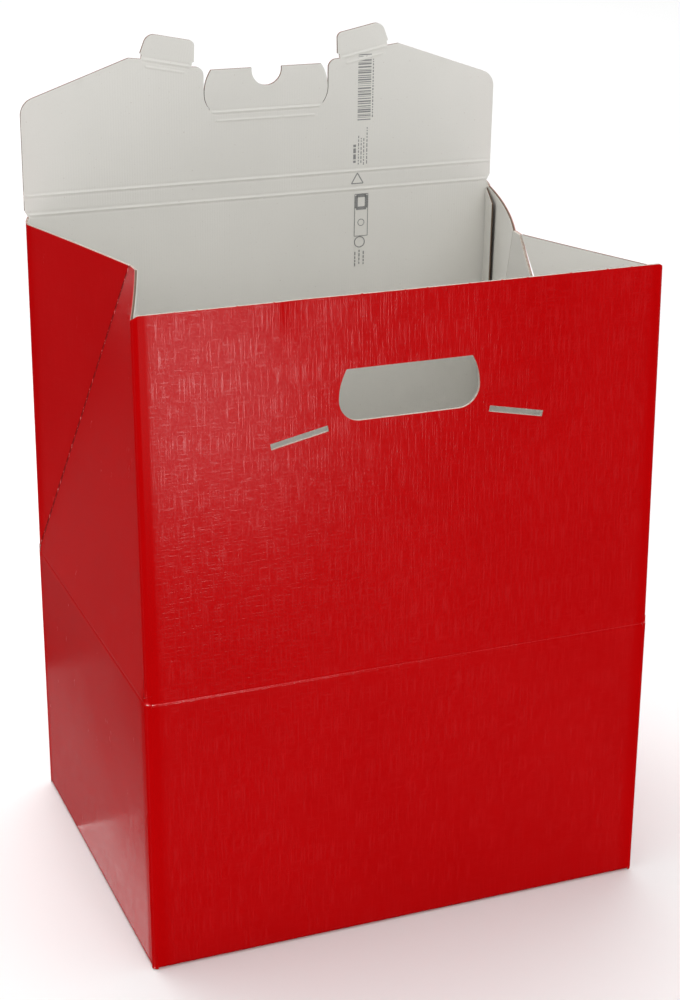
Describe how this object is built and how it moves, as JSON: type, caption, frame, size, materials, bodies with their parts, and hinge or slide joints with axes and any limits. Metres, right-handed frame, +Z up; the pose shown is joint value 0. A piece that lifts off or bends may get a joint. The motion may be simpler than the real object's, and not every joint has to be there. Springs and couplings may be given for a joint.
{
  "type": "gable-top carry carton",
  "caption": "Open gable-top carry carton of fluted board: straight lower box, folding gussets, hand hole, tuck slots and a raised lid with tuck tabs and handle flap.",
  "frame": {"origin": "centre of the base on the surface it stands on", "axes": "+Z up to the lid, front with the hand hole towards -Y, +X to the right as seen from the front"},
  "size_m": [0.35, 0.272, 0.5554],
  "materials": {
    "fluted_board": "matte off-white liner, brown raw edges",
    "cover_paper": "satin linen-embossed, red"
  },
  "bodies": {
    "carton": {"front_wall_board": "fluted_board", "front_wall_cover": "cover_paper", "back_wall_board": "fluted_board", "back_wall_cover": "cover_paper", "left_wall_board": "fluted_board", "left_wall_cover": "cover_paper", "right_wall_board": "fluted_board", "right_wall_cover": "cover_paper", "bottom_front_board": "fluted_board", "bottom_front_cover": "cover_paper", "bottom_back_board": "fluted_board", "bottom_back_cover": "cover_paper", "bottom_left_flap": "fluted_board", "bottom_right_flap": "fluted_board", "glue_flap_lower": "fluted_board"},
    "front_gable": {"front_gable_board": "fluted_board", "front_gable_cover": "cover_paper"},
    "back_gable": {"back_gable_board": "fluted_board", "back_gable_cover": "cover_paper"},
    "gusset_left": {"gusset_left_board": "fluted_board", "gusset_left_cover": "cover_paper"},
    "gusset_right": {"gusset_right_board": "fluted_board", "gusset_right_cover": "cover_paper"},
    "facet_left_front": {"facet_left_front_board": "fluted_board", "facet_left_front_cover": "cover_paper"},
    "facet_right_front": {"facet_right_front_board": "fluted_board", "facet_right_front_cover": "cover_paper"},
    "facet_left_rear": {"facet_left_rear_board": "fluted_board", "facet_left_rear_cover": "cover_paper"},
    "facet_right_rear": {"facet_right_rear_board": "fluted_board", "facet_right_rear_cover": "cover_paper", "glue_flap_upper": "fluted_board"},
    "ridge_strip": {"ridge_strip_board": "fluted_board", "ridge_strip_cover": "cover_paper"},
    "lid": {"lid_board": "fluted_board", "lid_cover": "cover_paper"},
    "tuck_tab_left": {"tuck_tab_left_board": "fluted_board", "tuck_tab_left_cover": "cover_paper"},
    "tuck_tab_right": {"tuck_tab_right_board": "fluted_board", "tuck_tab_right_cover": "cover_paper"},
    "handle_flap": {"handle_flap_board": "fluted_board", "handle_flap_cover": "cover_paper"}
  },
  "joints": [
    {"name": "gable_fold", "type": "hinge", "parent": "carton", "child": "front_gable", "pos_m": [0, -0.134, 0.19], "axis": [-1, 0, 0], "range_deg": [0, 29.9], "deforming": ["gusset_left_board", "gusset_left_cover", "gusset_right_board", "gusset_right_cover", "facet_left_front_board", "facet_left_front_cover", "facet_right_front_board", "facet_right_front_cover", "facet_left_rear_board", "facet_left_rear_cover", "facet_right_rear_board", "facet_right_rear_cover", "glue_flap_upper"]},
    {"name": "back_gable_fold", "type": "hinge", "parent": "carton", "child": "back_gable", "pos_m": [0, 0.134, 0.19], "axis": [1, 0, 0], "range_deg": [0, 29.91]},
    {"name": "gusset_left_fold", "type": "hinge", "parent": "carton", "child": "gusset_left", "pos_m": [-0.173, 0, 0.19], "axis": [0, 1, 0], "range_deg": [0, 22.76]},
    {"name": "gusset_right_fold", "type": "hinge", "parent": "carton", "child": "gusset_right", "pos_m": [0.173, 0, 0.19], "axis": [0, -1, 0], "range_deg": [0, 22.76]},
    {"name": "facet_left_front_fold", "type": "hinge", "parent": "front_gable", "child": "facet_left_front", "pos_m": [-0.173, -0.134, 0.19], "axis": [0, -0.0244, -0.9997], "range_deg": [0, 71.51]},
    {"name": "facet_right_front_fold", "type": "hinge", "parent": "front_gable", "child": "facet_right_front", "pos_m": [0.173, -0.134, 0.19], "axis": [0, 0.0244, 0.9997], "range_deg": [0, 71.51]},
    {"name": "facet_left_rear_fold", "type": "hinge", "parent": "back_gable", "child": "facet_left_rear", "pos_m": [-0.173, 0.134, 0.19], "axis": [0, -0.0244, 0.9997], "range_deg": [0, 71.51]},
    {"name": "facet_right_rear_fold", "type": "hinge", "parent": "back_gable", "child": "facet_right_rear", "pos_m": [0.173, 0.134, 0.19], "axis": [0, 0.0244, -0.9997], "range_deg": [0, 71.51]},
    {"name": "ridge_fold", "type": "hinge", "parent": "back_gable", "child": "ridge_strip", "pos_m": [0, 0.12794, 0.43793], "axis": [1, 0, 0], "range_deg": [0, 58.7]},
    {"name": "lid_fold", "type": "hinge", "parent": "ridge_strip", "child": "lid", "pos_m": [0, 0.12762, 0.45122], "axis": [1, 0, 0], "range_deg": [0, 58.7]},
    {"name": "tuck_tab_left_fold", "type": "hinge", "parent": "lid", "child": "tuck_tab_left", "pos_m": [-0.0725, 0.12555, 0.5358], "axis": [0.9799, 0.0049, -0.1993], "range_deg": [0, 90]},
    {"name": "tuck_tab_right_fold", "type": "hinge", "parent": "lid", "child": "tuck_tab_right", "pos_m": [0.0725, 0.12555, 0.5358], "axis": [0.9799, -0.0049, 0.1993], "range_deg": [0, 90]},
    {"name": "handle_flap_fold", "type": "hinge", "parent": "lid", "child": "handle_flap", "pos_m": [0, 0.12643, 0.49986], "axis": [1, 0, 0], "range_deg": [0, 120]}
  ],
  "couplings": [
    {"joint": "back_gable_fold", "follows": "gable_fold", "ratio": 1},
    {"joint": "gusset_left_fold", "follows": "gable_fold", "ratio": 0.76079},
    {"joint": "gusset_right_fold", "follows": "gable_fold", "ratio": 0.76079},
    {"joint": "facet_left_front_fold", "follows": "gable_fold", "ratio": 2.3912},
    {"joint": "facet_left_rear_fold", "follows": "gable_fold", "ratio": 2.3912},
    {"joint": "facet_right_front_fold", "follows": "gable_fold", "ratio": 2.3912},
    {"joint": "facet_right_rear_fold", "follows": "gable_fold", "ratio": 2.3912}
  ]
}
